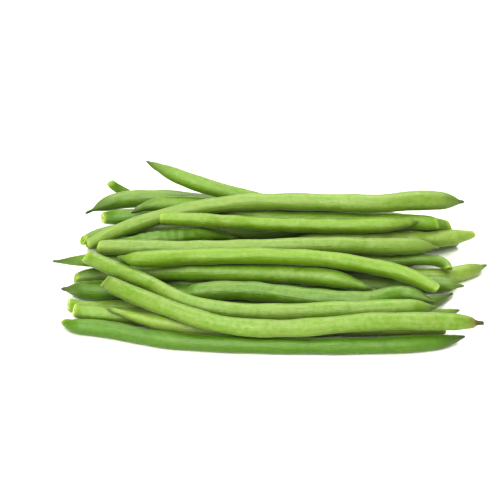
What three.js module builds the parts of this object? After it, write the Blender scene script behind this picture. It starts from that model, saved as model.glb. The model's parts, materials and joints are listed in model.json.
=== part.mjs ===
// A loose bundle of fresh green beans: pods of their own lengths, lying along X in a low heap.
// Millimetres, +Z up. The origin is on the surface, under the middle of the bundle.
import * as THREE from 'three';

// ---- The shape of a pod, in millimetres ----
const SIDES = 8; // flats round it
const SEEDS = 6; // swellings along it
const SWELLING = 0.035; // how much a seed swells it, as a share of its radius
const CUT_FACE = 0.75; // radius of its cut end, as a share of its full radius
const SHOULDER = 15; // length in which it reaches its full thickness from the cut end
const TAIL = 28; // length over which it thins towards its tail
const BEAK = 0.17; // radius of the beak at the end of the tail, as a share of the full radius
const BEAK_LENGTH = 2;
const STALK_RADIUS = 0.7; // of the bit of stalk left on a pod that isn't trimmed
const STALK_LENGTH = 3;
const STALK_COLLAR = 0.6; // length in which the pod widens from its stalk to its shoulder
const FLATTENED = 0.13; // how far a pod is pressed flat on the surface, as a share of its radius

// ---- How a pod settles on those below it ----
const GAP = 0.35; // left between two pods that touch
const STATIONS = 21; // places along a pod where its height is solved
const STEPS = 4; // finer steps from one station to the next, where it may touch another pod
const DROOP = 0.06; // how far its weight bends it at one station
const SWEEPS = 900; // rounds of settling

// ---- The skins, from the lightest to the darkest ----
const SKINS = { pale: 0x9bbd4c, fresh: 0x7fa838, deep: 0x5f8a2c };

// ---- The pods, in the order in which they are laid ----
// A plan is the way of a pod seen from above, from its stem end to its tail.
const PODS = [
  // On the surface, from the front of the heap to the back.
  {
    girth: 8.2, skin: 'deep', cut: 0.35, tail: 20,
    plan: [[-99, -30], [-92, -35], [-80, -37], [-45, -47], [45, -50], [80, -46], [92, -41]],
  },
  {
    girth: 7.5, skin: 'fresh', tail: 22,
    plan: [[-99, -15], [-88, -20], [-76, -20], [-40, -20], [0, -20], [45, -26], [82, -10], [89, -4]],
  },
  {
    girth: 8.2, skin: 'fresh', tail: 20,
    plan: [[-95, -25], [-87, -28], [0, -30], [45, -35], [70, -29], [91, -19]],
  },
  { girth: 10.2, skin: 'deep', tail: 15, plan: [[55, -10], [-50, -10], [-84, -7], [-101, -4]] },
  {
    girth: 8, skin: 'deep', cut: 0.55, tail: 9,
    plan: [[-96, 6], [-89, 8], [-78, 8], [-40, 1], [50, 0], [82, 0], [94, -3]],
  },
  {
    girth: 8, skin: 'pale', tail: 12,
    plan: [[-60, 12], [-10, 9], [38, 9], [70, 9], [86, 9], [98, 14], [107, 20]],
  },
  { girth: 8, skin: 'deep', plan: [[-84, 23], [-40, 21], [0, 18], [40, 20], [73, 22]] },
  { girth: 8, skin: 'deep', plan: [[-80, 30], [0, 27], [40, 29], [76, 30]] },
  { girth: 8, skin: 'deep', docked: true, plan: [[-92, 39], [0, 36], [50, 38], [85, 40], [94, 43]] },
  { girth: 8.5, skin: 'deep', plan: [[-76, 52], [-30, 47], [0, 48], [40, 54], [80, 55]] },
  { girth: 8, skin: 'deep', plan: [[-60, 57], [0, 57], [40, 63], [78, 62]] },
  // Lying on those, from the front to the back.
  {
    girth: 8, skin: 'pale', tail: 34,
    plan: [[83, -39], [40, -42], [-42, -39], [-61, -36], [-77, -31]],
  },
  { girth: 8.8, skin: 'fresh', tail: 22, plan: [[-74, -3], [-43, -1], [0, -5], [30, -10], [49, -16]] },
  { girth: 7.5, skin: 'fresh', tail: 25, plan: [[-30, 9], [0, 7], [35, 7], [56, 3], [78, -5]] },
  {
    girth: 8, skin: 'deep', tail: 34, tailLift: 6,
    plan: [[-8, 21], [-34, 18], [-78, 9], [-93, 11], [-107, 16]],
  },
  {
    girth: 5.8, skin: 'deep', tail: 20,
    plan: [[87, 2], [86, 7], [83, 11], [75, 14], [59, 13], [30, 14], [0, 12]],
  },
  { girth: 8, skin: 'deep', plan: [[-86, 51], [-30, 45], [30, 45]] },
  { girth: 6.5, skin: 'deep', plan: [[-94, 29], [-78, 36], [-40, 35], [0, 36], [40, 37]] },
  {
    girth: 8.2, skin: 'pale', cut: 0.45, stemLift: 20,
    plan: [[102, 37], [83, 33], [62, 31], [45, 28], [20, 28], [2, 24]],
  },
  {
    girth: 8.8, skin: 'deep', tail: 20, beak: 5,
    plan: [[45, 53], [0, 55], [-67, 62], [-80, 59], [-93, 49]],
  },
  { girth: 8, skin: 'deep', plan: [[-79, 17], [-49, 20], [-15, 30]] },
  {
    girth: 9, skin: 'deep', tail: 17, cut: 0.4, lean: -0.06,
    plan: [[-44, -22], [-36, -19], [-10, -18], [15, -22], [33, -24], [48, -24], [64, -19], [79, -24]],
  },
  {
    girth: 8.2, skin: 'fresh', tail: 13, lean: 0.06, stemLift: 4,
    plan: [
      [-91, 3], [-72, -9], [-54, -20], [-44, -28], [-30, -33],
      [5, -35], [33, -34], [62, -32], [79, -30],
    ],
  },
  // On top, from the front to the back.
  {
    girth: 8.2, skin: 'fresh', tail: 15,
    plan: [[-84, 8], [-70, 8], [-34, 8], [0, 8], [34, 10], [60, 13], [72, 15], [83, 15]],
  },
  {
    girth: 8, skin: 'pale', tail: 12, lean: 0.05, cut: 0.65,
    plan: [[81, -21], [63, -10], [39, -6], [10, -4], [-10, -2], [-38, -2], [-65, -7], [-73, -6]],
  },
  { girth: 5.6, skin: 'deep', stemLift: 46, plan: [[-82, 72], [-66, 71], [-45, 71], [15, 68]] },
  {
    girth: 7.8, skin: 'fresh', tail: 22,
    plan: [[84, 35], [40, 35], [0, 36], [-35, 46], [-60, 46], [-69, 40]],
  },
  {
    girth: 8, skin: 'fresh', tail: 20, tailLift: 26,
    plan: [[92, 44], [55, 45], [20, 47], [-15, 47], [-35, 51], [-62, 62]],
  },
  {
    girth: 8.6, skin: 'fresh', tail: 15, lean: 0.18, tailLift: 4,
    plan: [[-90, 15], [-73, 25], [-54, 32], [-25, 36], [15, 37], [55, 37], [75, 43], [97, 46]],
  },
  {
    girth: 7.3, skin: 'pale', tail: 22, lean: 0.08,
    plan: [[-54, 25], [-32, 25], [-10, 27], [18, 27], [44, 27], [63, 28], [73, 31]],
  },
  {
    girth: 8.5, skin: 'fresh', stalk: true, docked: true, tailLift: 8,
    plan: [[101, -42], [52, -47], [14, -50], [-23, -47], [-48, -37], [-70, -23], [-81, -14]],
  },
];

// Rises smoothly from 0 to 1, and stays there.
const ease = (x) => Math.sin((Math.min(Math.max(x, 0), 1) * Math.PI) / 2);

// Length over which a pod thins towards its far end. A docked pod is cut there too.
const thinning = (pod) => (pod.docked ? SHOULDER : (pod.tail ?? TAIL));

// Length of the thin beak at the end of a tail.
const beakLength = (pod) => pod.beak ?? BEAK_LENGTH;

// Spacing of the seeds of a pod of this length.
const seedPitch = (pod, length) => (length - SHOULDER - thinning(pod)) / SEEDS;

// Share of its full radius that a pod has near an end that is cut square, at a distance from the cut.
function shoulder(pod, distance) {
  const face = pod.cut ?? CUT_FACE;
  return face + (1 - face) * ease(distance / SHOULDER);
}

// Share of its full radius that a pod has near its tail, at a distance from the tip.
function taper(pod, left) {
  const beak = beakLength(pod);
  return BEAK + (1 - BEAK) * ease((left - beak) / (thinning(pod) - beak));
}

// Radius of a pod at a distance along it from its stem end.
function podRadius(pod, length, along) {
  const left = length - along;
  const end = pod.docked ? shoulder(pod, left) : taper(pod, left);
  const seed = 1 - SWELLING * Math.cos((2 * Math.PI * (along - SHOULDER)) / seedPitch(pod, length));
  const lean = 1 + (pod.lean ?? 0) * ((2 * along) / length - 1);
  const body = (pod.girth / 2) * shoulder(pod, along) * end * seed * lean;
  if (!pod.stalk) return body;
  return STALK_RADIUS + (body - STALK_RADIUS) * ease((along - STALK_LENGTH) / STALK_COLLAR);
}

// How high the curled ends of a pod rise, at a share t of its length.
function curl(pod, t) {
  const towardStem = Math.max(0, 1 - 2 * t);
  const towardTail = Math.max(0, 2 * t - 1);
  return (pod.stemLift ?? 0) * towardStem ** 2 + (pod.tailLift ?? 0) * towardTail ** 2;
}

// Lowest height for the middle of a pod at this point: on the surface and clear of the pods already laid.
function clearHeight(point, radius, laid) {
  let height = radius * (1 - FLATTENED);
  for (const { line } of laid) {
    for (const other of line) {
      const reach = radius + other.radius + GAP;
      const room = reach ** 2 - (point.x - other.x) ** 2 - (point.y - other.y) ** 2;
      if (room > 0) height = Math.max(height, other.z + Math.sqrt(room));
    }
  }
  return height;
}

// Straight rest of a stiff pod on the two high points on either side of its middle.
function restStraight(clear) {
  const middle = (clear.length - 1) / 2;
  let rest = { height: clear[middle], from: middle, slope: 0 };
  for (let i = 0; i < middle; i++) {
    for (let j = middle + 1; j < clear.length; j++) {
      const slope = (clear[j] - clear[i]) / (j - i);
      const height = clear[i] + slope * (middle - i);
      if (height > rest.height) rest = { height, from: middle, slope };
    }
  }
  return clear.map((height, i) => Math.max(height, rest.height + rest.slope * (i - rest.from)));
}

// Lets a pod sag, station by station, until its stiffness or a pod below holds it.
function settle(clear) {
  const z = restStraight(clear);
  const last = z.length - 1;
  for (let sweep = 0; sweep < SWEEPS; sweep++) {
    for (let i = 0; i <= last; i++) {
      const [a, b, c, d] = i <= last / 2 ? [i - 2, i - 1, i + 1, i + 2] : [i + 2, i + 1, i - 1, i - 2];
      let free;
      if (z[b] === undefined) free = 2 * z[c] - z[d] - DROOP;
      else if (z[a] === undefined) free = (2 * z[b] + 4 * z[c] - z[d] - DROOP) / 5;
      else free = (4 * (z[b] + z[c]) - z[a] - z[d] - DROOP) / 6;
      z[i] = Math.max(clear[i], free);
    }
  }
  return z;
}

// Lays a pod on those already laid. Its line is the way of its middle, with its radius at each point.
function layPod(pod, laid) {
  const plan = new THREE.CatmullRomCurve3(pod.plan.map(([x, y]) => new THREE.Vector3(x, y, 0)));
  const length = plan.getLength();
  const steps = (STATIONS - 1) * STEPS;
  const points = plan.getSpacedPoints(steps);
  const radii = points.map((point, i) => podRadius(pod, length, (length * i) / steps));
  const clear = points.map((point, i) => clearHeight(point, radii[i], laid) - curl(pod, i / steps));
  const stations = [];
  for (let i = 0; i <= steps; i += STEPS) {
    const nearby = clear.slice(Math.max(0, i - STEPS / 2), i + STEPS / 2 + 1);
    stations.push(Math.max(...nearby));
  }
  const heights = new THREE.SplineCurve(settle(stations).map((z, i) => new THREE.Vector2(i, z)));
  const line = points.map(({ x, y }, i) => {
    const z = heights.getPoint(i / steps).y + curl(pod, i / steps);
    return { x, y, z, radius: radii[i] };
  });
  return { ...pod, length, line };
}

// Distances along a pod of its rings: close together at both ends, and one at each seed and each waist.
function ringPlaces(pod, length) {
  const cut = [0, 0.2, 0.45, 0.7].map((share) => SHOULDER * share);
  const body = [];
  for (let half = 0; half <= 2 * SEEDS; half++) {
    body.push(SHOULDER + (seedPitch(pod, length) * half) / 2);
  }
  const stem = pod.stalk ? [0, STALK_LENGTH, STALK_LENGTH + STALK_COLLAR, ...cut.slice(2)] : cut;
  if (pod.docked) return [...stem, ...body, ...cut.map((place) => length - place).reverse()];
  const beak = beakLength(pod);
  const tail = [0.75, 0.5, 0.3, 0].map((share) => beak + (thinning(pod) - beak) * share);
  return [...stem, ...body, ...tail.map((place) => length - place), length - beak / 4];
}

// Closed solid of a laid pod: its outline is turned on a straight axis and then bent along its way.
function podGeometry(pod) {
  const way = new THREE.CatmullRomCurve3(pod.line.map(({ x, y, z }) => new THREE.Vector3(x, y, z)));
  const outline = ringPlaces(pod, pod.length).map(
    (along) => new THREE.Vector2(podRadius(pod, pod.length, along), along),
  );
  const ends = [new THREE.Vector2(0, 0), new THREE.Vector2(0, pod.length)];
  const geometry = new THREE.LatheGeometry([ends[0], ...outline, ends[1]], SIDES, Math.PI / SIDES);
  const up = new THREE.Vector3(0, 0, 1);
  const turned = geometry.attributes.position;
  for (let i = 0; i < turned.count; i++) {
    const t = Math.min(turned.getY(i) / pod.length, 1);
    const tangent = way.getTangentAt(t);
    const side = new THREE.Vector3().crossVectors(tangent, up).normalize();
    const above = new THREE.Vector3().crossVectors(side, tangent);
    const place = way.getPointAt(t);
    place.addScaledVector(side, turned.getX(i)).addScaledVector(above, turned.getZ(i));
    turned.setXYZ(i, place.x, place.y, Math.max(place.z, 0));
  }
  geometry.computeVertexNormals();
  return geometry;
}

// ---- The bundle ----
const bundle = new THREE.Group();
const laid = [];
for (const pod of PODS) {
  laid.push(layPod(pod, laid));
}
laid.forEach((pod, i) => {
  const material = new THREE.MeshStandardMaterial({ color: SKINS[pod.skin], roughness: 0.5 });
  const mesh = new THREE.Mesh(podGeometry(pod), material);
  mesh.name = `bean_${String(i + 1).padStart(2, '0')}`;
  bundle.add(mesh);
});

// The middle of the bundle goes over the origin, and its lowest flats on the surface.
const bounds = new THREE.Box3().setFromObject(bundle);
const middle = bounds.getCenter(new THREE.Vector3());
bundle.position.set(-middle.x, -middle.y, -bounds.min.z);

export default bundle;
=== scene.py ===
# A loose bundle of fresh green beans on a white table, in metres and +Z up.
import bmesh
import bpy
import json
import math
import random
import numpy as np
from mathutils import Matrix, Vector


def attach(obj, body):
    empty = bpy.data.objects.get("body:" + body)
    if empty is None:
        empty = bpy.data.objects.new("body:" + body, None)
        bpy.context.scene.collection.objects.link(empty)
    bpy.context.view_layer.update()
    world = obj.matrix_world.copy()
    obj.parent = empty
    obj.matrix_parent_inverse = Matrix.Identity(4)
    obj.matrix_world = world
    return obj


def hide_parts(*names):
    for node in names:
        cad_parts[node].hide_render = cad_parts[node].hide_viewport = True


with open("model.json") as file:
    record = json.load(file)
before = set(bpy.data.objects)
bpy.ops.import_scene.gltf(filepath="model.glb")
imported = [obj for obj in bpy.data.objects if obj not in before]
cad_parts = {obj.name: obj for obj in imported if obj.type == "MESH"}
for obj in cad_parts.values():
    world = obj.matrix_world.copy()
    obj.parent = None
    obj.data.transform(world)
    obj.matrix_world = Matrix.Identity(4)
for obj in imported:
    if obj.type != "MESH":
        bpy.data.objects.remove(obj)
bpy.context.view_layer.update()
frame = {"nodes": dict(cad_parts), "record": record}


# ---- The pods ----
# Each bean is one whole fresh pod: a curved green tube, swollen a little by its seeds, with a low
# seam down two sides, a slanting cut where its stem was trimmed off, and a thin beak at its tail.
# They lie loose on each other, and the lowest are pressed a little flat on the table.
POD_SIDES = 56
RING_SPACING = 0.0011
SWELLING = 0.05  # as a share of the radius
SEED_PITCH = 0.017
SEED_SHARE = 0.3  # how strongly the seeds show beside what is uneven
GIRTH_CHANGES = 55.0  # in a metre
TWIST = 1.4  # in radians
TWIST_CHANGES = 12.0  # in a metre
SEAM_HEIGHT = 0.035  # this and the next two are shares of the radius
SEAM_WIDTH = 0.3
BETWEEN_SEAMS = 0.985
CUT_FACE = 0.0001  # what is nearer to a cut than this is the cut itself
CUT_ROUNDING = 0.0005
CUT_NARROWING = 0.1  # of the rim, as a share of the radius
CUT_REACH = 0.009  # length in which a slanting cut fades into the round pod
CUT_RECESS = 0.00035
SIDE_CORNERS = 4.0  # of a face on the side of a pod; only the two faces at its ends have more
# The layers of a cut, from its rim of skin to the hollow in the middle: each one's width as a
# share of the one round it, and how far it stands out from that one, in recesses.
CUT_LAYERS = ((0.86, 0.0), (0.97, -0.7), (0.34, 0.2), (0.6, -1.0))
OLDER_CUT = 0.2  # how fresh the flesh of most cuts is, where 1 is just cut


def connect(tree, node, inputs):
    """Gives each input of a node its value, or a link where the value is another node's output."""
    for key, value in dict(inputs).items():
        if isinstance(value, bpy.types.NodeSocket):
            tree.links.new(value, node.inputs[key])
        else:
            node.inputs[key].default_value = value


def wire(tree, kind, inputs=(), **settings):
    """Adds a node with its settings and its inputs."""
    made = tree.nodes.new(kind)
    for name, value in settings.items():
        setattr(made, name, value)
    connect(tree, made, inputs)
    return made


def maths(tree, operation, *values):
    """The output of a Math node on up to three values."""
    return wire(tree, "ShaderNodeMath", enumerate(values), operation=operation).outputs[0]


def attribute(tree, name, kind="FLOAT"):
    """Reads a number or vector stored on the points, inside a geometry tree."""
    return wire(tree, "GeometryNodeInputNamedAttribute", {"Name": name}, data_type=kind).outputs[0]


def store(tree, geometry, name, value, kind="FLOAT", domain="POINT", chosen=True):
    """Stores a value on the points or faces of a geometry, for the materials to read."""
    inputs = {"Geometry": geometry, "Selection": chosen, "Name": name, "Value": value}
    kept = wire(tree, "GeometryNodeStoreNamedAttribute", inputs, data_type=kind, domain=domain)
    return kept.outputs[0]


def wander(tree, given, along, changes):
    """A value about a half that wanders along a pod, in another way for each seed."""
    where = maths(tree, "ADD", maths(tree, "MULTIPLY", along, changes), given["Seed"])
    inputs = {"W": where, "Scale": 1.0}
    return wire(tree, "ShaderNodeTexNoise", inputs, noise_dimensions="1D").outputs[0]


def pod_spine(tree, given):
    """The way of a pod as a fine curve that knows how far each point is from both ends."""
    curve = wire(tree, "GeometryNodeMeshToCurve", {"Mesh": given["Way"]}).outputs[0]
    rings = {"Curve": curve, "Length": given["Ring Spacing"]}
    curve = wire(tree, "GeometryNodeResampleCurve", rings, mode="LENGTH").outputs[0]
    along = wire(tree, "GeometryNodeSplineParameter").outputs["Length"]
    whole = wire(tree, "GeometryNodeSplineLength").outputs["Length"]
    left = maths(tree, "SUBTRACT", whole, along)
    far_cut = maths(tree, "ADD", left, maths(tree, "SUBTRACT", 1.0, given["Cut Twice"]))
    known = {
        "along": along,
        "left": left,
        "from_cut": maths(tree, "MINIMUM", along, far_cut),
        "tint": given["Tint"],
        "dry_tail": given["Dry Tail"],
        "dry_stem": given["Dry Stem"],
        "fresh_cut": given["Fresh Cut"],
    }
    for name, value in known.items():
        curve = store(tree, curve, name, value)
    centre = wire(tree, "GeometryNodeInputPosition").outputs[0]
    curve = store(tree, curve, "centre", centre, kind="FLOAT_VECTOR")
    toward = wire(tree, "GeometryNodeInputTangent").outputs[0]
    curve = store(tree, curve, "toward", toward, kind="FLOAT_VECTOR")
    curve = wire(tree, "GeometryNodeSetCurveNormal", {"Curve": curve}, mode="Z_UP").outputs[0]
    twist = maths(tree, "MULTIPLY", wander(tree, given, along, TWIST_CHANGES), TWIST)
    roll = maths(tree, "ADD", given["Roll"], twist)
    return wire(tree, "GeometryNodeSetCurveTilt", {"Curve": curve, "Tilt": roll}).outputs[0]


def pod_girth(tree, given):
    """The radius of a pod at each point: thick round the seeds, thin between them, never quite even."""
    along = attribute(tree, "along")
    seeds = maths(tree, "COSINE", maths(tree, "MULTIPLY", along, 2 * math.pi / SEED_PITCH))
    drift = wander(tree, given, along, GIRTH_CHANGES)
    uneven = maths(tree, "SUBTRACT", drift, 0.5)
    swell = maths(tree, "MULTIPLY_ADD", seeds, maths(tree, "MULTIPLY", drift, SEED_SHARE), uneven)
    factor = maths(tree, "MULTIPLY_ADD", swell, given["Swelling"], 1.0)
    edge = maths(tree, "EXPONENT", maths(tree, "DIVIDE", attribute(tree, "from_cut"), -CUT_ROUNDING))
    factor = maths(tree, "SUBTRACT", factor, maths(tree, "MULTIPLY", edge, CUT_NARROWING))
    return maths(tree, "MULTIPLY", attribute(tree, "thickness"), factor)


def pod_outline(tree, given):
    """The cross-section of a pod: nearly round, with a low seam on its left and its right."""
    sides = {"Resolution": given["Sides"], "Radius": 1.0}
    circle = wire(tree, "GeometryNodeCurvePrimitiveCircle", sides, mode="RADIUS").outputs["Curve"]
    place = wire(tree, "GeometryNodeInputPosition").outputs[0]
    circle = store(tree, circle, "across", place, kind="FLOAT_VECTOR")
    height = wire(tree, "ShaderNodeSeparateXYZ", {0: place}).outputs["Y"]
    near = maths(tree, "POWER", maths(tree, "DIVIDE", height, SEAM_WIDTH), 2.0)
    seam = maths(tree, "EXPONENT", maths(tree, "MULTIPLY", near, -1.0))
    factor = maths(tree, "MULTIPLY_ADD", seam, given["Seam"], BETWEEN_SEAMS)
    proud = wire(tree, "ShaderNodeVectorMath", {0: place, "Scale": factor}, operation="SCALE").outputs[0]
    return wire(tree, "GeometryNodeSetPosition", {"Geometry": circle, "Position": proud}).outputs[0]


def slant_cuts(tree, body, given):
    """Leans each cut, as a knife does: the side that it leans away from is cut back further."""
    place = wire(tree, "GeometryNodeInputPosition").outputs[0]
    centre = attribute(tree, "centre", "FLOAT_VECTOR")
    outward = wire(tree, "ShaderNodeVectorMath", {0: place, 1: centre}, operation="SUBTRACT").outputs[0]
    facing = {0: outward, 1: given["Cut Side"]}
    facing = wire(tree, "ShaderNodeVectorMath", facing, operation="DOT_PRODUCT").outputs["Value"]
    back = maths(tree, "MULTIPLY", maths(tree, "ADD", facing, attribute(tree, "thickness")), given["Slant"])
    near = maths(tree, "SUBTRACT", 1.0, maths(tree, "DIVIDE", attribute(tree, "from_cut"), CUT_REACH))
    near = maths(tree, "MAXIMUM", near, 0.0)
    first_half = maths(tree, "LESS_THAN", attribute(tree, "along"), attribute(tree, "left"))
    inward = maths(tree, "MULTIPLY_ADD", first_half, 2.0, -1.0)
    amount = maths(tree, "MULTIPLY", maths(tree, "MULTIPLY", back, near), inward)
    shift = {0: attribute(tree, "toward", "FLOAT_VECTOR"), "Scale": amount}
    shift = wire(tree, "ShaderNodeVectorMath", shift, operation="SCALE").outputs[0]
    return wire(tree, "GeometryNodeSetPosition", {"Geometry": body, "Offset": shift}).outputs[0]


def rest_on_table(tree, geometry):
    """Presses what would be under the table flat on it."""
    place = wire(tree, "ShaderNodeSeparateXYZ", {0: wire(tree, "GeometryNodeInputPosition").outputs[0]})
    height = maths(tree, "MAXIMUM", place.outputs["Z"], 0.0)
    pressed = {"X": place.outputs["X"], "Y": place.outputs["Y"], "Z": height}
    pressed = wire(tree, "ShaderNodeCombineXYZ", pressed).outputs[0]
    return wire(tree, "GeometryNodeSetPosition", {"Geometry": geometry, "Position": pressed}).outputs[0]


def cut_end(tree, body, given):
    """Shapes the cut: a rim of skin, a step down to the flesh, and the empty middle of the pod."""
    corners = wire(tree, "GeometryNodeInputMeshFaceNeighbors").outputs["Vertex Count"]
    ends = wire(tree, "FunctionNodeCompare", {"A": corners, "B": SIDE_CORNERS}, operation="GREATER_THAN")
    at_cut = maths(tree, "LESS_THAN", attribute(tree, "from_cut"), CUT_FACE)
    cap = maths(tree, "MULTIPLY", ends.outputs[0], at_cut)
    for layer, (share, depth) in enumerate(CUT_LAYERS):
        sunk = maths(tree, "MULTIPLY", given["Recess"], depth)
        inputs = {"Mesh": body, "Selection": cap, "Offset Scale": sunk, "Individual": False}
        pushed = wire(tree, "GeometryNodeExtrudeMesh", inputs, mode="FACES")
        cap = pushed.outputs["Top"]
        inputs = {"Geometry": pushed.outputs["Mesh"], "Selection": cap, "Scale": share}
        body = wire(tree, "GeometryNodeScaleElements", inputs, domain="FACE").outputs[0]
        body = store(tree, body, "inside", float(layer), domain="FACE", chosen=cap)
    return body


def build_pod_tree():
    """Sweeps the outline of a pod along its way and finishes both ends."""
    tree = bpy.data.node_groups.new("green bean pod", "GeometryNodeTree")
    sockets = (
        ("Way", "NodeSocketGeometry", None),
        ("Sides", "NodeSocketInt", POD_SIDES),
        ("Ring Spacing", "NodeSocketFloat", RING_SPACING),
        ("Swelling", "NodeSocketFloat", SWELLING),
        ("Seam", "NodeSocketFloat", SEAM_HEIGHT),
        ("Recess", "NodeSocketFloat", CUT_RECESS),
        ("Seed", "NodeSocketFloat", 0.0),
        ("Roll", "NodeSocketFloat", 0.0),
        ("Tint", "NodeSocketFloat", 0.5),
        ("Dry Tail", "NodeSocketFloat", 0.0),
        ("Dry Stem", "NodeSocketFloat", 0.0),
        ("Cut Twice", "NodeSocketFloat", 0.0),
        ("Fresh Cut", "NodeSocketFloat", OLDER_CUT),
        ("Cut Side", "NodeSocketVector", None),
        ("Slant", "NodeSocketFloat", 0.4),
        ("Skin", "NodeSocketMaterial", None),
        ("Flesh", "NodeSocketMaterial", None),
    )
    for name, kind, value in sockets:
        socket = tree.interface.new_socket(name, in_out="INPUT", socket_type=kind)
        if value is not None:
            socket.default_value = value
    tree.interface.new_socket("Pod", in_out="OUTPUT", socket_type="NodeSocketGeometry")
    given = wire(tree, "NodeGroupInput").outputs
    sweep = {
        "Curve": pod_spine(tree, given),
        "Profile Curve": pod_outline(tree, given),
        "Scale": pod_girth(tree, given),
        "Fill Caps": True,
    }
    body = wire(tree, "GeometryNodeCurveToMesh", sweep).outputs[0]
    body = rest_on_table(tree, slant_cuts(tree, body, given))
    body = cut_end(tree, body, given)
    flesh = maths(tree, "LESS_THAN", attribute(tree, "from_cut"), CUT_FACE)
    smooth = {"Geometry": body, "Shade Smooth": maths(tree, "SUBTRACT", 1.0, flesh)}
    body = wire(tree, "GeometryNodeSetShadeSmooth", smooth).outputs[0]
    body = wire(tree, "GeometryNodeRealizeInstances", {"Geometry": body}).outputs[0]
    body = wire(tree, "GeometryNodeSetMaterial", {"Geometry": body, "Material": given["Skin"]}).outputs[0]
    cut = {"Geometry": body, "Selection": flesh, "Material": given["Flesh"]}
    body = wire(tree, "GeometryNodeSetMaterial", cut).outputs[0]
    wire(tree, "NodeGroupOutput", {"Pod": body})
    return tree


# The line through the middle of a pod is found in its solid, which has one ring of corners after
# another from end to end and closes in a point at each.
RING_CORNERS = 8
SAME_CORNER = 1e-6
SAME_RING = 1e-5
FINE_POINTS = 260
RADIUS_LEEWAY = 0.05  # how far the smooth line may take a radius, as a share of it


def rings_of(solid):
    """The centre and radius of each ring of a solid pod, from its wider end to its thinner one."""
    shape = bmesh.new()
    shape.from_mesh(solid.data)
    bmesh.ops.remove_doubles(shape, verts=shape.verts, dist=SAME_CORNER)
    shape.verts.index_update()
    poles = [corner for corner in shape.verts if len(corner.link_edges) == RING_CORNERS]
    poles.sort(key=lambda pole: -max(edge.calc_length() for edge in pole.link_edges))
    ring = [poles[0]]
    seen = set(ring)
    rings = []
    while ring:
        ring = {edge.other_vert(corner) for corner in ring for edge in corner.link_edges} - seen
        seen |= ring
        if ring:
            places = [corner.co.copy() for corner in sorted(ring, key=lambda corner: corner.index)]
            centre = sum(places, Vector()) / len(places)
            radius = sorted((place - centre).length for place in places)[len(places) // 2]
            rings.append((centre, radius))
    shape.free()
    return rings


def smooth_way(rings):
    """Even, fine points and radii on the smooth line through the rings."""
    knots = np.array([[*centre, radius] for centre, radius in rings])
    gaps = np.linalg.norm(np.diff(knots[:, :3], axis=0), axis=1)
    keep = np.concatenate([[True], gaps > SAME_RING])
    knots = knots[keep]
    chord = np.concatenate([[0.0], np.cumsum(gaps[keep[1:]])])
    slopes = np.gradient(knots, chord, axis=0)
    at = np.linspace(0.0, chord[-1], FINE_POINTS)
    low = np.clip(np.searchsorted(chord, at, side="right") - 1, 0, len(chord) - 2)
    span = (chord[low + 1] - chord[low])[:, None]
    t = (at[:, None] - chord[low][:, None]) / span
    fine = (
        knots[low] * (2 * t**3 - 3 * t**2 + 1)
        + slopes[low] * span * (t**3 - 2 * t**2 + t)
        + knots[low + 1] * (3 * t**2 - 2 * t**3)
        + slopes[low + 1] * span * (t**3 - t**2)
    )
    straight = np.interp(at, chord, knots[:, 3])
    fine[:, 3] = np.clip(fine[:, 3], straight * (1 - RADIUS_LEEWAY), straight * (1 + RADIUS_LEEWAY))
    return fine


# The skin is grass green and waxy, with a fine down. Its streaks run along the pod, and its other
# patterns have no direction. A pattern is given by its scale and its detail, and what fades by the
# two values that it fades between. A reach is in metres from an end of the pod.
SKIN_TONES = {  # of a pod: its light patches, most of it, and its shaded streaks
    "skin_pale": ((0.238, 0.316, 0.066), (0.176, 0.288, 0.010), (0.100, 0.210, 0.003)),
    "skin_fresh": ((0.208, 0.292, 0.054), (0.146, 0.262, 0.005), (0.068, 0.168, 0.002)),
    "skin_deep": ((0.156, 0.246, 0.032), (0.102, 0.210, 0.003), (0.042, 0.120, 0.001)),
}
CLOUDS = (60.0, 3.0)
LUMPS = (150.0, 1.0)
MOTTLE = (420.0, 4.0)
SPECKS = (1500.0, 1.0)
DOWN = (1900.0, 2.0)
STREAKS = (5.0, 4.0)
STREAKS_ALONG = 24.0  # for each metre of the pod
STREAKS_ACROSS = 1.8  # for each radius of it
LIGHT_PATCHES = (1.5, 2.2)
DEEP_PATCHES_AND_SHADE = (0.9, 1.55)
DARK_STREAKS = (0.56, 0.78)
PALE_SPECKS = (0.62, 0.74)
SPECK_GAIN = 1.3  # this and the next one make a speck's colour from a light patch's
SPECK_LIFT = 0.02
SEAM_LINE_AND_SHADE = (0.01, 0.08)
SEAM_BREAKS = (0.35, 0.65)
TAIL_REACH = (0.003, 0.02)
BEAK_REACH = (0.001, 0.0055)
BEAK_BROWNING = (0.55, 0.35)  # what a dry beak has beyond a fresh one, and what a fresh one has
RIM_REACH = (0.0004, 0.0024)
STEM_REACH = (0.004, 0.012)
STALK_RADIUS = (0.0009, 0.0022)
TAIL_GREEN = (0.075, 0.13, 0.018)
BEAK_BROWN = (0.055, 0.065, 0.016)
RIM_YELLOW = (0.31, 0.41, 0.05)
STEM_TAN = (0.19, 0.18, 0.03)
STALK_BROWN = (0.075, 0.055, 0.022)


def tinge(tree, colour, other, share, strength=1.0):
    """Turns a colour into another one as far as a share goes, which the strength lessens."""
    inputs = {0: maths(tree, "MULTIPLY", share, strength)}
    for key, part in ((6, colour), (7, other)):  # the two colours of a Mix node
        inputs[key] = part if isinstance(part, bpy.types.NodeSocket) else (*part, 1.0)
    return wire(tree, "ShaderNodeMix", inputs, data_type="RGBA").outputs[2]


def ramp(tree, value, low, high):
    """0 where the value is below low, 1 where it is above high, and smooth between them."""
    inputs = {"Value": value, "From Min": low, "From Max": high}
    return wire(tree, "ShaderNodeMapRange", inputs, interpolation_type="SMOOTHSTEP").outputs["Result"]


def fade(tree, value, low, high):
    """The reverse of a ramp: 1 where the value is below low, and 0 where it is above high."""
    return maths(tree, "SUBTRACT", 1.0, ramp(tree, value, low, high))


def weigh(tree, *parts):
    """The sum of values, each times its weight."""
    total = 0.0
    for value, weight in parts:
        total = maths(tree, "MULTIPLY_ADD", value, weight, total)
    return total


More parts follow.
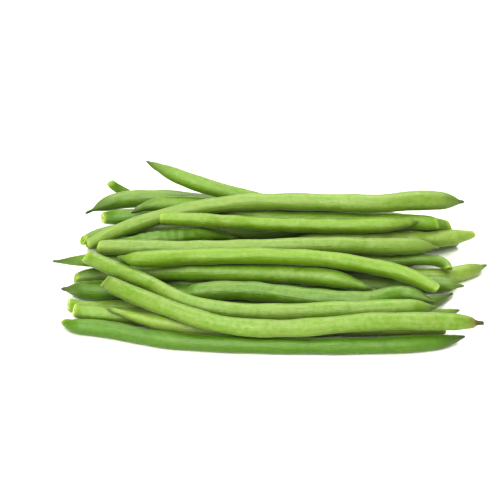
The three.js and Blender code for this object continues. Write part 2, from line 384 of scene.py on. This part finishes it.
def noise(tree, place, scale, detail):
    """Grey noise at a scale."""
    inputs = {"Vector": place, "Scale": scale, "Detail": detail}
    return wire(tree, "ShaderNodeTexNoise", inputs).outputs["Fac"]


def read(tree, name, part="Fac"):
    """Reads what the pod tree stored on the points, inside a material."""
    return wire(tree, "ShaderNodeAttribute", attribute_name=name).outputs[part]


def skin_material(name, light, full, shade):
    """Pod skin: waxy and faintly downy, streaked along the pod, with thin seams and a dull beak."""
    material = bpy.data.materials.new(name)
    material.use_nodes = True
    tree = material.node_tree
    along = read(tree, "along")
    across = wire(tree, "ShaderNodeSeparateXYZ", {0: read(tree, "across", "Vector")}).outputs
    stretched = {
        "X": maths(tree, "MULTIPLY", along, STREAKS_ALONG),
        "Y": maths(tree, "MULTIPLY", across["X"], STREAKS_ACROSS),
        "Z": maths(tree, "MULTIPLY_ADD", across["Y"], STREAKS_ACROSS, read(tree, "tint")),
    }
    stretched = wire(tree, "ShaderNodeCombineXYZ", stretched).outputs[0]
    place = wire(tree, "ShaderNodeTexCoord").outputs["Object"]
    clouds = noise(tree, place, *CLOUDS)
    mottle = noise(tree, place, *MOTTLE)
    streaks = noise(tree, stretched, *STREAKS)

    tone = weigh(tree, (read(tree, "tint"), 0.9), (clouds, 0.9), (streaks, 0.5), (mottle, 1.5))
    colour = tinge(tree, full, light, ramp(tree, tone, *LIGHT_PATCHES))
    colour = tinge(tree, colour, shade, ramp(tree, streaks, *DARK_STREAKS), strength=0.7)
    # Deeper where the tone is low: random darker patches on most pods, and on bean_01, whose tint is
    # lowest, painted shade over the whole pod.
    colour = tinge(tree, colour, shade, fade(tree, tone, *DEEP_PATCHES_AND_SHADE), strength=0.35)
    paler = tuple(part * SPECK_GAIN + SPECK_LIFT for part in light)
    specks = ramp(tree, noise(tree, place, *SPECKS), *PALE_SPECKS)
    colour = tinge(tree, colour, paler, specks, strength=0.3)

    # Darker along each seam: partly the seam's own colour, partly painted shade in the fine groove along
    # it, which the mesh does not hold.
    seam = fade(tree, maths(tree, "ABSOLUTE", across["Y"]), *SEAM_LINE_AND_SHADE)
    seam = maths(tree, "MULTIPLY", seam, ramp(tree, clouds, *SEAM_BREAKS))
    colour = tinge(tree, colour, shade, seam, strength=0.35)

    left = read(tree, "left")
    dry = read(tree, "dry_tail")
    colour = tinge(tree, colour, TAIL_GREEN, maths(tree, "MULTIPLY", fade(tree, left, *TAIL_REACH), dry))
    browned = maths(tree, "MULTIPLY_ADD", dry, *BEAK_BROWNING)
    beak = maths(tree, "MULTIPLY", fade(tree, left, *BEAK_REACH), browned)
    colour = tinge(tree, colour, BEAK_BROWN, beak)
    rim = fade(tree, read(tree, "from_cut"), *RIM_REACH)
    colour = tinge(tree, colour, RIM_YELLOW, rim, strength=0.65)
    stem = maths(tree, "MULTIPLY", fade(tree, along, *STEM_REACH), read(tree, "dry_stem"))
    colour = tinge(tree, colour, STEM_TAN, stem, strength=0.7)
    stalk = maths(tree, "MULTIPLY", fade(tree, read(tree, "thickness"), *STALK_RADIUS), stem)
    colour = tinge(tree, colour, STALK_BROWN, stalk)

    lumps = noise(tree, place, *LUMPS)
    down = noise(tree, place, *DOWN)
    relief = weigh(tree, (down, 0.14), (streaks, 0.7), (mottle, 0.35), (lumps, 1.6), (seam, -0.2))
    bump = {"Strength": 0.6, "Distance": 0.0005, "Height": relief}
    skin = {
        "Base Color": colour,
        "Roughness": maths(tree, "MULTIPLY_ADD", clouds, 0.16, 0.38),
        "Normal": wire(tree, "ShaderNodeBump", bump).outputs[0],
        "Specular IOR Level": 0.8,
        "Subsurface Weight": 0.12,
        "Subsurface Radius": (0.5, 1.0, 0.1),
        "Subsurface Scale": 0.0016,
        "Sheen Weight": 0.5,
        "Sheen Roughness": 0.3,
        "Sheen Tint": (1.0, 1.0, 0.85, 1.0),
    }
    connect(tree, tree.nodes["Principled BSDF"], skin)
    return material


# The flesh of a cut is moist and pale. It dries to a dull green, and the stalk's is woody. The
# layers of the cut are numbered from its rim inwards.
FLESH_GRAIN = (900.0, 3.0)
FLESH_STAINS = (220.0, 2.0)
PALE_GRAIN = (0.3, 0.7)
STAINED = (0.6, 0.75)
RIM_LAYER = (0.2, 1.0)
SHADED_HOLLOW_LAYERS = (1.2, 2.8)
WOODY_RADIUS = (0.0012, 0.0018)
FLESH_GREEN = (0.34, 0.42, 0.09)
FLESH_PALE = (0.47, 0.54, 0.19)
FLESH_RIM = (0.46, 0.54, 0.16)
FLESH_OLDER = (0.24, 0.35, 0.045)
HOLLOW_SHADE_GREEN = (0.07, 0.12, 0.01)
WOOD_BROWN = (0.12, 0.095, 0.03)
STAIN_TAN = (0.26, 0.28, 0.06)


def flesh_material():
    """The cut: moist pale green flesh, a paler rim, and painted shade where the pod is hollow."""
    material = bpy.data.materials.new("cut_flesh")
    material.use_nodes = True
    tree = material.node_tree
    place = wire(tree, "ShaderNodeTexCoord").outputs["Object"]
    grain = noise(tree, place, *FLESH_GRAIN)
    layer = read(tree, "inside")
    colour = tinge(tree, FLESH_GREEN, FLESH_PALE, ramp(tree, grain, *PALE_GRAIN))
    colour = tinge(tree, colour, FLESH_RIM, fade(tree, layer, *RIM_LAYER))
    colour = tinge(tree, colour, FLESH_OLDER, maths(tree, "SUBTRACT", 1.0, read(tree, "fresh_cut")))
    # painted shade in the hollow middle of the cut
    colour = tinge(tree, colour, HOLLOW_SHADE_GREEN, ramp(tree, layer, *SHADED_HOLLOW_LAYERS), strength=0.8)
    colour = tinge(tree, colour, WOOD_BROWN, fade(tree, read(tree, "thickness"), *WOODY_RADIUS))
    stains = ramp(tree, noise(tree, place, *FLESH_STAINS), *STAINED)
    colour = tinge(tree, colour, STAIN_TAN, stains, strength=0.4)
    bump = {"Strength": 0.4, "Distance": 0.0003, "Height": grain}
    flesh = {
        "Base Color": colour,
        "Roughness": 0.45,
        "Normal": wire(tree, "ShaderNodeBump", bump).outputs[0],
        "Subsurface Weight": 0.25,
        "Subsurface Radius": (0.6, 1.0, 0.3),
        "Subsurface Scale": 0.002,
    }
    connect(tree, tree.nodes["Principled BSDF"], flesh)
    return material


POD_SKINS = {slot: skin_material(f"{slot}_pod", *tones) for slot, tones in SKIN_TONES.items()}
CUT_FLESH = flesh_material()
POD_TREE = build_pod_tree()
POD_SOCKETS = {
    item.name: item.identifier
    for item in POD_TREE.interface.items_tree
    if item.item_type == "SOCKET" and item.in_out == "INPUT"
}

# No two pods are alike. A few have a tint of their own, which is deeper the lower it is, and the
# others a chance one. The lowest, bean_01's, is painted shade that darkens the whole pod as if
# it lay in shadow. The tails of some have dried, and a few cuts are fresh.
TINTS_AND_SHADE = {"bean_01": -0.1, "bean_04": 0.1, "bean_13": 0.3, "bean_25": 0.15, "bean_31": 0.5}
USUAL_TINTS = (0.2, 0.85)
DRY_TAILS = {
    "bean_01": 0.8,
    "bean_02": 1.0,
    "bean_04": 0.6,
    "bean_06": 0.3,
    "bean_07": 0.9,
    "bean_12": 0.0,
    "bean_15": 0.8,
    "bean_20": 0.9,
    "bean_27": 0.5,
    "bean_28": 0.4,
    "bean_29": 0.5,
}
USUAL_DRYNESS = 0.15
FRESH_CUTS = ("bean_02", "bean_03", "bean_17")
CUT_LEANS = {  # where a cut leans, in radians from the front over the top, and its slope
    "bean_02": (0.5, 0.85),
    "bean_03": (0.5, 0.7),
    "bean_16": (4.1, 0.85),
    "bean_17": (0.5, 0.6),
    "bean_23": (1.0, 0.75),
    "bean_24": (3.0, 0.3),
    "bean_25": (4.1, 0.75),
    "bean_30": (3.0, 0.1),
    "bean_31": (1.0, 0.75),
}
USUAL_LEANS = (1.2, 3.6)
USUAL_SLOPES = (0.3, 0.9)
USUAL_ROLLS = (-1.2, 1.2)
LARGEST_SEED = 90.0

# One pod still has the stump of its stalk, which widens at a collar into the pod.
STALKED = ("bean_31",)
STALK_AT = (0.0, 0.0035, 0.0046, 0.009, 0.018)
STALK_RADII = (0.0010, 0.0012, 0.0027, 0.0034, 0.0046)

# A pod that is wide at its far end is cut there too. Any other one ends in its beak, which is a
# fine point in a few pods and a plain one in the rest.
CUT_TWICE_RADIUS = 0.0015
FINE_BEAKS = ("bean_02", "bean_15", "bean_20", "bean_24", "bean_29")
BEAK_LENGTH = 0.007
TIP_RADIUS = 0.00045
TIP_OPENING = 0.3  # how much a plain beak widens for each unit of length from its tip


def pod_way(node):
    """The points and radii of a pod's way from its cut to its far end, and if that is cut too."""
    rings = rings_of(frame["nodes"][node])
    if node in STALKED:
        rings.reverse()
    fine = smooth_way(rings)
    steps = np.append(0.0, np.linalg.norm(np.diff(fine[:, :3], axis=0), axis=1))
    along = np.cumsum(steps)
    left = along[-1] - along
    if node in STALKED:
        stalk = np.interp(along, STALK_AT, STALK_RADII, right=1.0)
        fine[:, 3] = np.where(along < STALK_AT[1], stalk, np.minimum(fine[:, 3], stalk))
    cut_twice = fine[-1, 3] > CUT_TWICE_RADIUS
    if not cut_twice and node not in FINE_BEAKS:
        behind = np.interp(along[-1] - BEAK_LENGTH, along, fine[:, 3])
        cone = np.minimum(TIP_RADIUS + TIP_OPENING * left, behind)
        fine[:, 3] = np.where(left < BEAK_LENGTH, np.maximum(fine[:, 3], cone), fine[:, 3])
    return fine, cut_twice


def grow_pod(node, slot, chance):
    """Makes the fine pod that stands for one of the solids."""
    fine, cut_twice = pod_way(node)
    way = bpy.data.meshes.new(f"{node}_way")
    way.from_pydata(fine[:, :3].tolist(), [(i, i + 1) for i in range(len(fine) - 1)], [])
    way.attributes.new("thickness", "FLOAT", "POINT").data.foreach_set("value", fine[:, 3])
    pod = bpy.data.objects.new(f"{node}_pod", way)
    bpy.context.scene.collection.objects.link(pod)
    growth = pod.modifiers.new("growth", "NODES")
    growth.node_group = POD_TREE
    traits = {
        "Seed": chance.uniform(0.0, LARGEST_SEED),
        "Roll": chance.uniform(*USUAL_ROLLS),
        # a set tint, which for bean_01 is painted shade, or a chance one
        "Tint": TINTS_AND_SHADE.get(node, chance.uniform(*USUAL_TINTS)),
        "Dry Tail": DRY_TAILS.get(node, USUAL_DRYNESS),
        "Dry Stem": float(node in STALKED),
        "Cut Twice": float(cut_twice),
        "Fresh Cut": 1.0 if node in FRESH_CUTS else OLDER_CUT,
        "Skin": POD_SKINS[slot],
        "Flesh": CUT_FLESH,
    }
    chance_lean = (chance.uniform(*USUAL_LEANS), chance.uniform(*USUAL_SLOPES))
    turned, traits["Slant"] = CUT_LEANS.get(node, chance_lean)
    traits["Cut Side"] = (0.0, -math.cos(turned), math.sin(turned))
    for name, trait in traits.items():
        growth[POD_SOCKETS[name]] = trait
    grown = bpy.data.meshes.new_from_object(pod.evaluated_get(bpy.context.evaluated_depsgraph_get()))
    pod.modifiers.clear()
    pod.data = grown
    grown.name = pod.name
    bpy.data.meshes.remove(way)
    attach(pod, "root")
    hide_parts(node)


chance = random.Random(7)
for subpart in frame["record"]["subparts"]:
    grow_pod(subpart["node"], subpart["material_slot"], chance)


# ---- The table ----
# A plain white table top, painted and matt, and wide enough to fill the picture from any side.
# The pods lie straight on it.
TABLE_WIDTH = 6.0
TABLE_WHITE = (0.86, 0.86, 0.82, 1.0)
table_mesh = bpy.data.meshes.new("table")
half = TABLE_WIDTH / 2
corners = [(-half, -half, 0), (half, -half, 0), (half, half, 0), (-half, half, 0)]
table_mesh.from_pydata(corners, [], [(0, 1, 2, 3)])
table = bpy.data.objects.new("table", table_mesh)
bpy.context.scene.collection.objects.link(table)
table_paint = bpy.data.materials.new("table_paint")
table_paint.use_nodes = True
matt = {"Base Color": TABLE_WHITE, "Roughness": 0.6, "Specular IOR Level": 0.2}
connect(table_paint.node_tree, table_paint.node_tree.nodes["Principled BSDF"], matt)
table_mesh.materials.append(table_paint)


# ---- The light ----
# A white tent: broad soft light from above and a little behind the beans, more from above and in
# front, and a pale room, bright low on its walls and dim overhead.
BACK_LIGHT = {"comes_from": (0.1, 0.9, 1.3), "strength": 3.1, "spread": 50.0}
FRONT_LIGHT = {"comes_from": (-0.35, -1.1, 1.35), "strength": 4.8, "spread": 60.0}
ROOM_WHITE = (1.0, 1.0, 0.98, 1.0)
WALL_BRIGHTNESS = 1.1
CEILING_BRIGHTNESS = 0.12
WALLS_FADE_FROM = 0.12  # a height is the sine of the angle at which it is seen from the table
CEILING_FROM = 0.4
PICTURE_GAMMA = 0.68


def broad_light(name, comes_from, strength, spread):
    """Soft light from one side, spread over some degrees and even over the whole table."""
    lamp = bpy.data.lights.new(name, "SUN")
    lamp.energy = strength
    lamp.angle = math.radians(spread)
    holder = bpy.data.objects.new(name, lamp)
    holder.location = comes_from
    holder.rotation_euler = (-Vector(comes_from)).to_track_quat("-Z", "Y").to_euler()
    bpy.context.scene.collection.objects.link(holder)


broad_light("back_light", **BACK_LIGHT)
broad_light("front_light", **FRONT_LIGHT)
room = bpy.data.worlds.new("room")
room.use_nodes = True
height = wire(room.node_tree, "ShaderNodeTexCoord").outputs["Generated"]
height = wire(room.node_tree, "ShaderNodeSeparateXYZ", {0: height}).outputs["Z"]
fading = {
    "Value": height,
    "From Min": WALLS_FADE_FROM,
    "From Max": CEILING_FROM,
    "To Min": WALL_BRIGHTNESS,
    "To Max": CEILING_BRIGHTNESS,
}
fading = wire(room.node_tree, "ShaderNodeMapRange", fading).outputs["Result"]
connect(room.node_tree, room.node_tree.nodes["Background"], {"Color": ROOM_WHITE, "Strength": fading})
bpy.context.scene.world = room
bpy.context.scene.view_settings.view_transform = "Standard"
bpy.context.scene.view_settings.gamma = PICTURE_GAMMA


# ---- The camera ----
# It looks down on the front of the bundle from a little over a metre away, through a long lens, so
# that the pods at the back look nearly as large as those in front.
CAMERA_HEIGHT_ANGLE = math.radians(34.0)
CAMERA_DISTANCE = 1.118
CAMERA_STANDS_BEFORE = (0.0, -0.0099, 0.0)  # the point that the distance is measured from
CAMERA_LOOKS_AT = (-0.0095, -0.0099, 0.0241)
LENS = 165.3
SENSOR_WIDTH = 36.0
camera_data = bpy.data.cameras.new("camera")
camera_data.lens = LENS
camera_data.sensor_width = SENSOR_WIDTH
camera = bpy.data.objects.new("camera", camera_data)
back = Vector((0.0, -math.cos(CAMERA_HEIGHT_ANGLE), math.sin(CAMERA_HEIGHT_ANGLE)))
camera.location = Vector(CAMERA_STANDS_BEFORE) + back * CAMERA_DISTANCE
aim = Vector(CAMERA_LOOKS_AT) - camera.location
camera.rotation_euler = aim.to_track_quat("-Z", "Y").to_euler()
bpy.context.scene.collection.objects.link(camera)
bpy.context.scene.camera = camera
